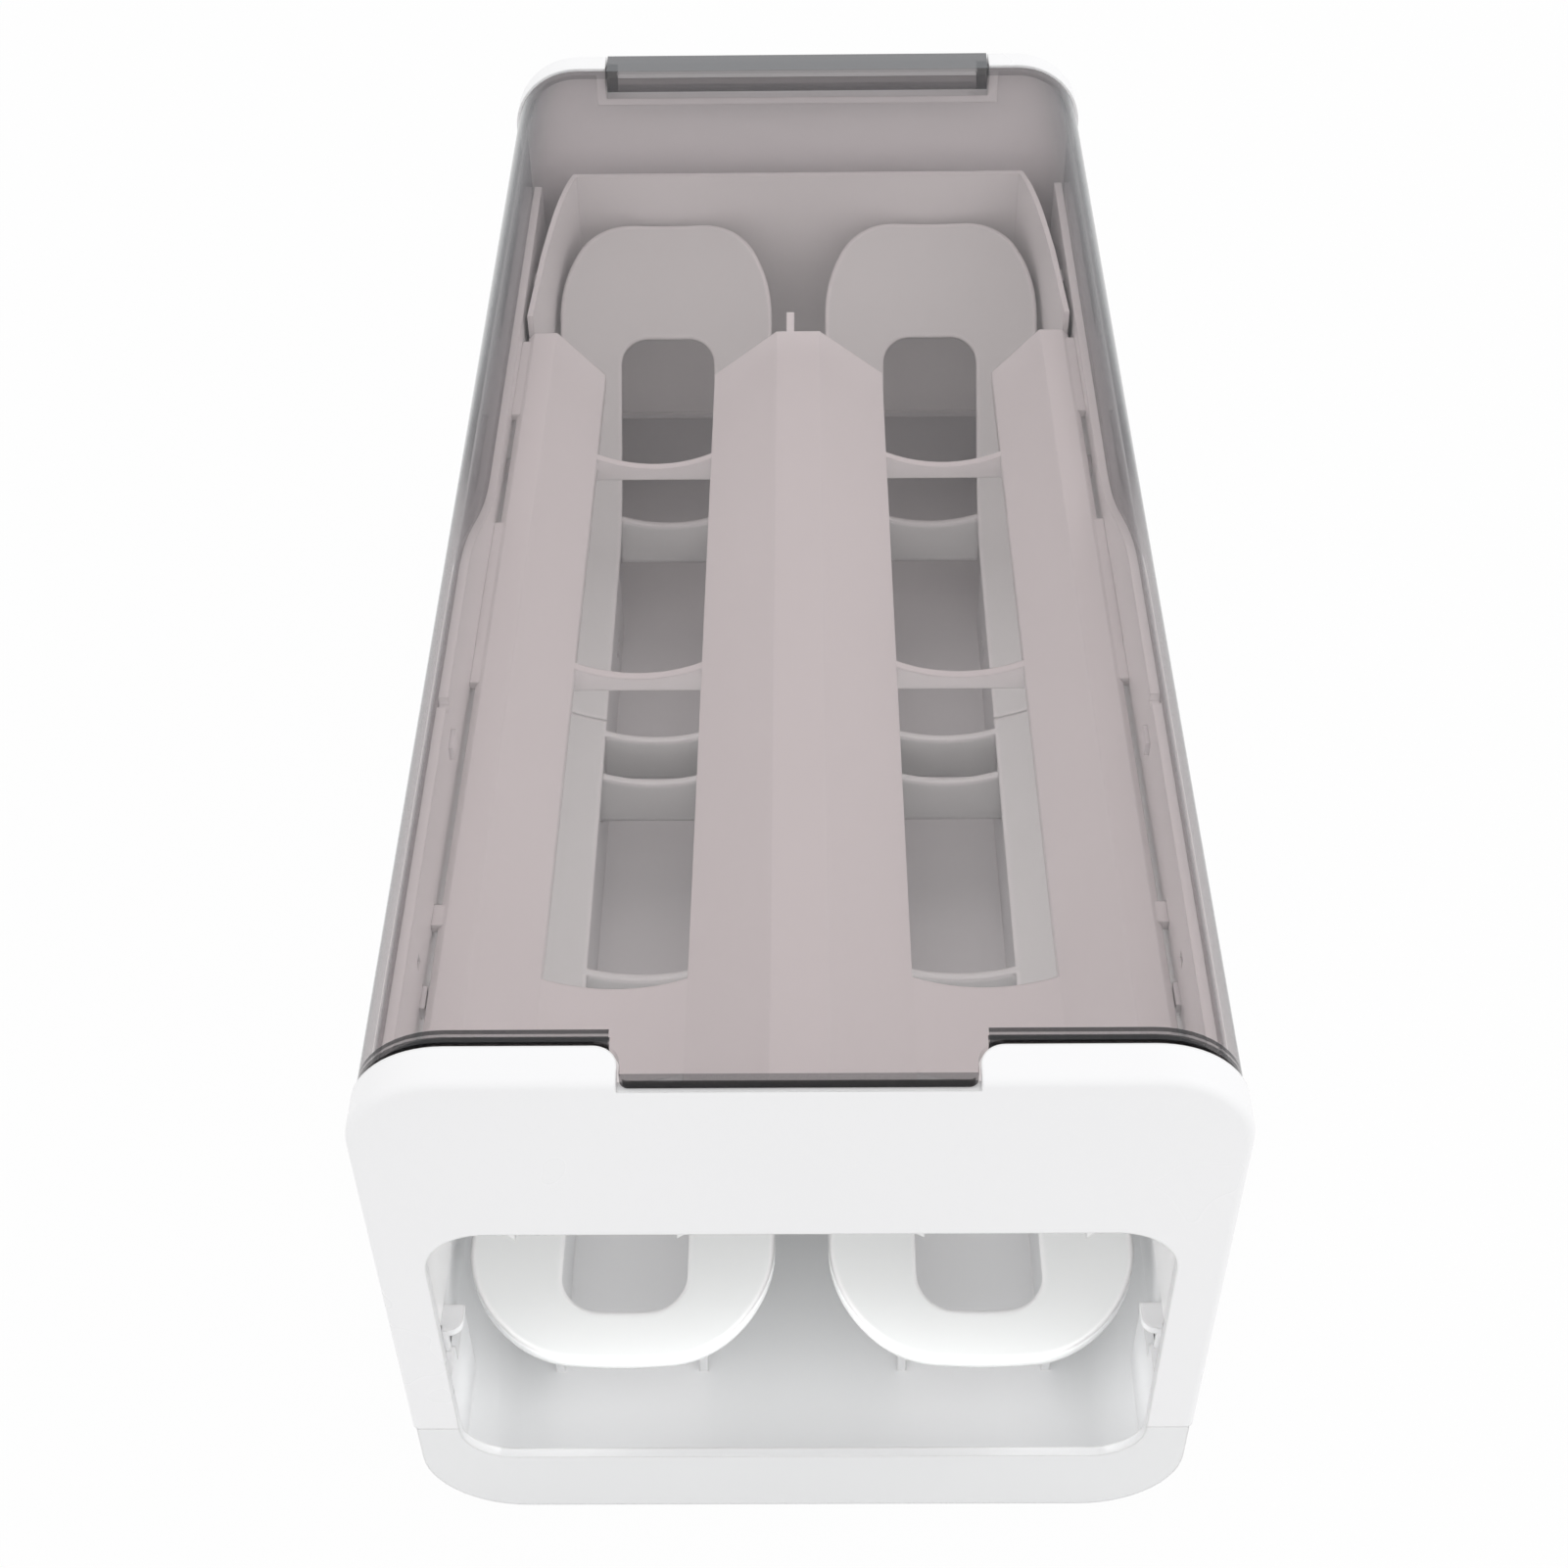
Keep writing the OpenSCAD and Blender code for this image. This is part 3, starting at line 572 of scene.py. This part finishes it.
@dataclass
class Shell:
    """The white outer box: tray, two frames, two side walls, their skins and the rear guide."""

    # tray_white is a darker copy of the frames' white: painted shade on the tray's lower front.
    tray: Moulded = Moulded("tray_white", (0.90, 0.905, 0.91), (0.88, 0.885, 0.89), 0.36, 0.9 * MM)
    frames: Moulded = Moulded(
        "frame_white", (0.96, 0.96, 0.968), (0.945, 0.945, 0.953), 0.3, 0.8 * MM
    )
    liner: Moulded = Moulded("liner_white", (0.96, 0.96, 0.96), (0.945, 0.945, 0.945), 0.36)
    skin: Moulded = Moulded("fascia_white", (0.96, 0.96, 0.968), (0.945, 0.945, 0.953), 0.3)
    # guide_white is a slightly lighter copy of the white: painted light on the rear guide.
    guide: Moulded = Moulded("guide_white", (0.97, 0.97, 0.97), (0.96, 0.96, 0.96), 0.36)

    def dress(self, frame: Mapping[str, Any]) -> None:
        """Gives each moulding its finish.
        """
        for finish, parts in (
            (self.tray, (Part.TRAY,)),
            (self.frames, (Part.FRONT_FRAME, Part.REAR_PANEL)),
            (self.liner, (Part.WALL_LEFT, Part.WALL_RIGHT)),
            (self.guide, (Part.GUIDE,)),
            (self.skin, (Part.SKIN_LEFT, Part.SKIN_RIGHT)),
        ):
            material = finish.build()
            for part in parts:
                wear(part, material, frame)


@dataclass
class Decks:
    """What the eggs roll on: the upper deck and the two lanes' lower runners."""

    deck: Moulded = Moulded(
        "deck_white", (0.96, 0.955, 0.955), (0.945, 0.94, 0.94), 0.38, 0.8 * MM
    )
    # runner_white is a darker copy of the deck's white: painted shade on the runners' faces, so that the
    # painted highlight along their edges stands out.
    runner: Moulded = Moulded(
        "runner_white", (0.82, 0.835, 0.83), (0.805, 0.82, 0.815), 0.38, 2.2 * MM
    )

    def dress(self, frame: Mapping[str, Any]) -> None:
        """Gives the deck and the runners their finish.
        """
        wear(Part.DECK, self.deck.build(), frame)
        runner = self.runner.build()
        for part in (
            Part.RUNNER_FRONT_LEFT,
            Part.RUNNER_FRONT_RIGHT,
            Part.RUNNER_REAR_LEFT,
            Part.RUNNER_REAR_RIGHT,
        ):
            wear(part, runner, frame)


@dataclass
class Cover:
    """The smoky cover with its tongue, rims and hinge tab."""

    finish: SmokyClear = SmokyClear("smoky_clear")

    def dress(self, frame: Mapping[str, Any]) -> None:
        """Gives the cover its finish.
        """
        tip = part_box(Part.COVER.value)[0][1]
        wear(Part.COVER, self.finish.build(CoverEnds(tip)), frame)


@dataclass
class Lamp:
    """One soft lamp: a panel that looks at the box and isn't seen itself.

    Attributes:
        name: the lamp's name.
        place: its middle.
        width: its size along its own x.
        length: its size along its own y.
        power: its power in watts.
        target: the point that it looks at.
    """

    name: str
    place: Point
    width: float
    length: float
    power: float
    target: Point = (0.0, 0.0, 0.07)

    def build(self) -> None:
        """Adds the lamp to the scene."""
        data = bpy.data.lights.new(self.name, "AREA")
        data.shape, data.energy = "RECTANGLE", self.power
        data.size, data.size_y = self.width, self.length
        lamp = bpy.data.objects.new(self.name, data)
        lamp.location = self.place
        lamp.rotation_mode = "QUATERNION"
        ahead = Vector(self.target) - Vector(self.place)
        lamp.rotation_quaternion = ahead.to_track_quat("-Z", "Y")
        lamp.visible_camera = lamp.visible_glossy = lamp.visible_transmission = False
        bpy.context.scene.collection.objects.link(lamp)
        LOG.info("lamp %s", self.name)


@dataclass
class Viewpoint:
    """The camera of the photograph, in metres, degrees, and millimetres of lens and sensor."""

    place: Point = (0.00175, -0.4405, 0.4729)
    down: float = 44.68
    heading: float = -0.80
    roll: float = -0.89
    lens: float = 53.19
    sensor: float = 36.0
    near: float = 0.01
    far: float = 50.0

    def build(self) -> None:
        """Adds the camera and makes it the scene's."""
        tilt, turn, roll = (math.radians(a) for a in (self.down, self.heading, self.roll))
        level = math.cos(tilt)
        ahead = Vector((math.sin(turn) * level, math.cos(turn) * level, -math.sin(tilt)))
        right = Vector((math.cos(turn), -math.sin(turn), 0.0))
        up = right.cross(ahead)
        across = right * math.cos(roll) + up * math.sin(roll)
        upward = up * math.cos(roll) - right * math.sin(roll)
        matrix = Matrix((across, upward, -ahead)).transposed().to_4x4()
        matrix.translation = Vector(self.place)
        data = bpy.data.cameras.new("viewpoint")
        data.lens, data.sensor_width = self.lens, self.sensor
        data.clip_start, data.clip_end = self.near, self.far
        camera = bpy.data.objects.new("viewpoint", data)
        camera.matrix_world = matrix
        bpy.context.scene.collection.objects.link(camera)
        bpy.context.scene.camera = camera


def soft_lamps() -> list[Lamp]:
    """Lists the lamps: a softbox, and weak fills inside the box.

    Returns:
        The lamps, not yet built.
    """
    return [
        Lamp("softbox_right", (0.9, -0.3, 0.9), 0.8, 0.8, 1.2),
        Lamp("gallery_fill", (0.0, -0.01, 0.086), 0.13, 0.2, 0.036, (0.0, -0.01, 0.0)),
        Lamp("window_fill", (0.0, -0.184, 0.05), 0.12, 0.03, 0.0175, (0.0, 0.0, 0.02)),
        Lamp("rear_fill", (0.0, 0.12, 0.142), 0.12, 0.05, 0.005, (0.0, 0.18, 0.1)),
        Lamp("side_fill_left", (-0.065, -0.145, 0.022), 0.085, 0.022, 0.002, (-0.077, -0.145, 0.022)),
        Lamp("side_fill_right", (0.065, -0.145, 0.022), 0.085, 0.022, 0.002, (0.077, -0.145, 0.022)),
        Lamp("corner_fill_left", (-0.055, -0.176, 0.03), 0.03, 0.02, 0.0008, (-0.055, -0.176, 0.0)),
        Lamp("corner_fill_right", (0.055, -0.176, 0.03), 0.03, 0.02, 0.0008, (0.055, -0.176, 0.0)),
    ]


@dataclass
class Studio:
    """White floor, even white surroundings and soft lamps.

    Attributes:
        ambient: strength of the surroundings' light.
        white: colour that floor and surroundings show.
        floor_size: side of the square floor.
        floor_drop: how far the floor lies below the box.
        floor_grey: the floor's own colour, in which the box's shadow falls.
        floor_shadow: how much of that colour shows.
        lamps: the lamps.
    """

    ambient: float = 0.95
    white: Colour = (1.0, 1.0, 1.0)
    floor_size: float = 6.0
    floor_drop: float = 0.2 * MM
    floor_grey: Colour = (0.82, 0.82, 0.82)
    floor_shadow: float = 0.04
    lamps: list[Lamp] = field(default_factory=soft_lamps)

    def build(self) -> None:
        """Builds world, floor and lamps, and sets the plain view transform."""
        scene = bpy.context.scene
        scene.view_settings.view_transform = "Standard"
        self._world(scene)
        self._floor(scene)
        for lamp in self.lamps:
            lamp.build()

    def _world(self, scene: bpy.types.Scene) -> None:
        """Lights the scene evenly and shows camera, gloss and clear plastic a white surrounding.

        Args:
            scene: the scene to light.
        """
        world = bpy.data.worlds.new("surround")
        world.use_nodes = True
        scene.world = world
        board = Board(world.node_tree)
        kind = "ShaderNodeBackground"
        even = board.add(kind, None, {"Color": self.white, "Strength": self.ambient})
        shown = board.add(kind, None, {"Color": self.white, "Strength": 1.0})
        mixed = board.add("ShaderNodeMixShader", None, {0: board.seen(), 1: even, 2: shown})
        board.add("ShaderNodeOutputWorld", None, {"Surface": mixed})

    def _floor(self, scene: bpy.types.Scene) -> None:
        """Lays the white floor, which keeps a faint shadow of the box.

        Args:
            scene: the scene to lay it in.
        """
        half = self.floor_size / 2
        corners = [(-half, -half, 0), (half, -half, 0), (half, half, 0), (-half, half, 0)]
        mesh = bpy.data.meshes.new("floor")
        mesh.from_pydata(corners, [], [(0, 1, 2, 3)])
        floor = bpy.data.objects.new("floor", mesh)
        floor.location = (0.0, 0.0, -self.floor_drop)
        scene.collection.objects.link(floor)
        material, board = blank("floor_white")
        shown = board.seen() * (1.0 - self.floor_shadow)
        grey = board.add("ShaderNodeBsdfDiffuse", None, {"Color": self.floor_grey})
        glow = board.add("ShaderNodeEmission", None, {"Color": self.white, "Strength": 1.0})
        mixed = board.add("ShaderNodeMixShader", None, {0: shown, 1: grey, 2: glow})
        board.add("ShaderNodeOutputMaterial", None, {"Surface": mixed})
        mesh.materials.append(material)


def main() -> None:
    logging.basicConfig(level=logging.INFO, format="%(message)s")
    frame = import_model()
    Shell().dress(frame)
    Decks().dress(frame)
    Cover().dress(frame)
    Studio().build()
    Viewpoint().build()


if __name__ == "__main__":
    main()
